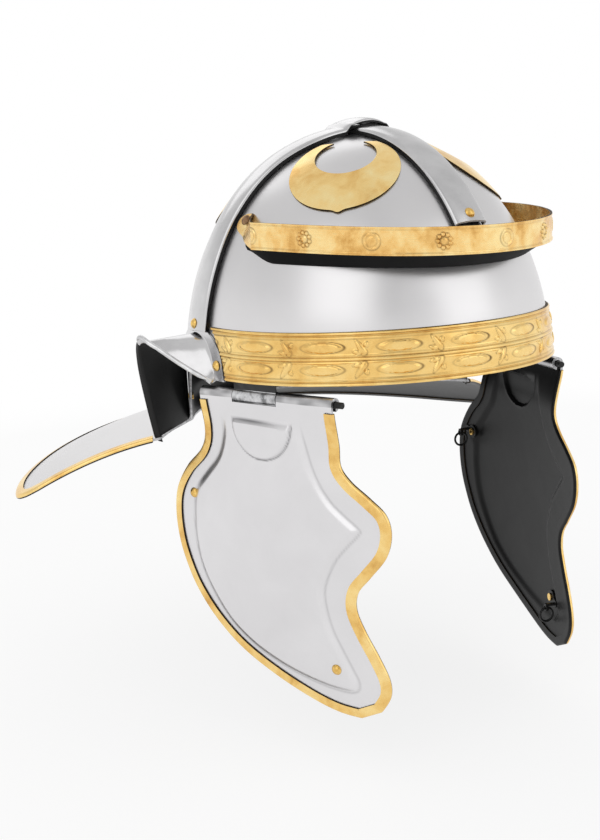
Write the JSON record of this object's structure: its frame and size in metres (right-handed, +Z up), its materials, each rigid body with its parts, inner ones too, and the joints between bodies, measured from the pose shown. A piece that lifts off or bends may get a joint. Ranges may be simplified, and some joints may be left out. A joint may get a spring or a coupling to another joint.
{
  "type": "imperial gallic helmet",
  "caption": "Roman infantry helmet: steel bowl with crossed bands, brow guard, ear guards, broad neck guard, brass trim and hinged cheek guards with tie rings.",
  "frame": {"origin": "middle of the head opening, at the level of the rim above the hinges, where the helmet sits on the head", "axes": "+Z up to the crown, -Y to the brow, +X to the wearer's left"},
  "size_m": [0.3688, 0.3083, 0.3123],
  "materials": {
    "polished_steel": "polished steel sheet with fine brushing, painted gloss black on the inside",
    "brass": "polished yellow brass",
    "plain_steel": "dull worn steel with traces of black paint",
    "dark_brass": "darkened brass",
    "black_paint": "gloss black paint on steel"
  },
  "bodies": {
    "helmet": {"skull_bowl": "polished_steel", "fore_aft_band": "polished_steel", "side_band": "polished_steel", "band_rivets": "brass", "crescent_front_right": "brass", "crescent_front_left": "brass", "crescent_rear_right": "brass", "crescent_rear_left": "brass", "brow_guard": "polished_steel", "brow_guard_facing": "brass", "brow_guard_rivets": "dark_brass", "rim_band": "brass", "ear_guard_right": "polished_steel", "ear_guard_left": "polished_steel", "ear_guard_rivets": "brass", "neck_guard": "polished_steel", "neck_guard_edging": "brass", "hinge_plate_right": "plain_steel", "hinge_plate_left": "plain_steel", "hinge_plate_rivets": "plain_steel", "hinge_pin_right": "plain_steel", "hinge_pin_left": "plain_steel"},
    "cheek_right": {"cheek_guard_right": "polished_steel", "cheek_edging_right": "brass", "cheek_rivets_right": "brass", "tie_clip_upper_right": "black_paint", "tie_clip_lower_right": "black_paint"},
    "ring_upper_right": {"tie_ring_upper_right": "black_paint"},
    "ring_lower_right": {"tie_ring_lower_right": "black_paint"},
    "cheek_left": {"cheek_guard_left": "polished_steel", "cheek_edging_left": "brass", "cheek_rivets_left": "brass", "tie_clip_upper_left": "black_paint", "tie_clip_lower_left": "black_paint"},
    "ring_upper_left": {"tie_ring_upper_left": "black_paint"},
    "ring_lower_left": {"tie_ring_lower_left": "black_paint"}
  },
  "joints": [
    {"name": "cheek_hinge_right", "type": "hinge", "parent": "helmet", "child": "cheek_right", "pos_m": [-0.09287, -0.033, -0.0077], "axis": [-0.2874, 0.9578, 0], "range_deg": [-25, 80]},
    {"name": "ring_upper_swing_right", "type": "hinge", "parent": "cheek_right", "child": "ring_upper_right", "pos_m": [-0.10081, 0.0291, -0.0678], "axis": [-0.9578, -0.2874, 0], "range_deg": [-60, 60]},
    {"name": "ring_lower_swing_right", "type": "hinge", "parent": "cheek_right", "child": "ring_lower_right", "pos_m": [-0.07283, -0.07293, -0.15424], "axis": [-0.9578, -0.2874, 0], "range_deg": [-60, 60]},
    {"name": "cheek_hinge_left", "type": "hinge", "parent": "helmet", "child": "cheek_left", "pos_m": [0.09287, -0.033, -0.0077], "axis": [-0.2874, -0.9578, 0], "range_deg": [-25, 80]},
    {"name": "ring_upper_swing_left", "type": "hinge", "parent": "cheek_left", "child": "ring_upper_left", "pos_m": [0.10081, 0.0291, -0.0678], "axis": [0.9578, -0.2874, 0], "range_deg": [-60, 60]},
    {"name": "ring_lower_swing_left", "type": "hinge", "parent": "cheek_left", "child": "ring_lower_left", "pos_m": [0.07283, -0.07293, -0.15424], "axis": [0.9578, -0.2874, 0], "range_deg": [-60, 60]}
  ]
}
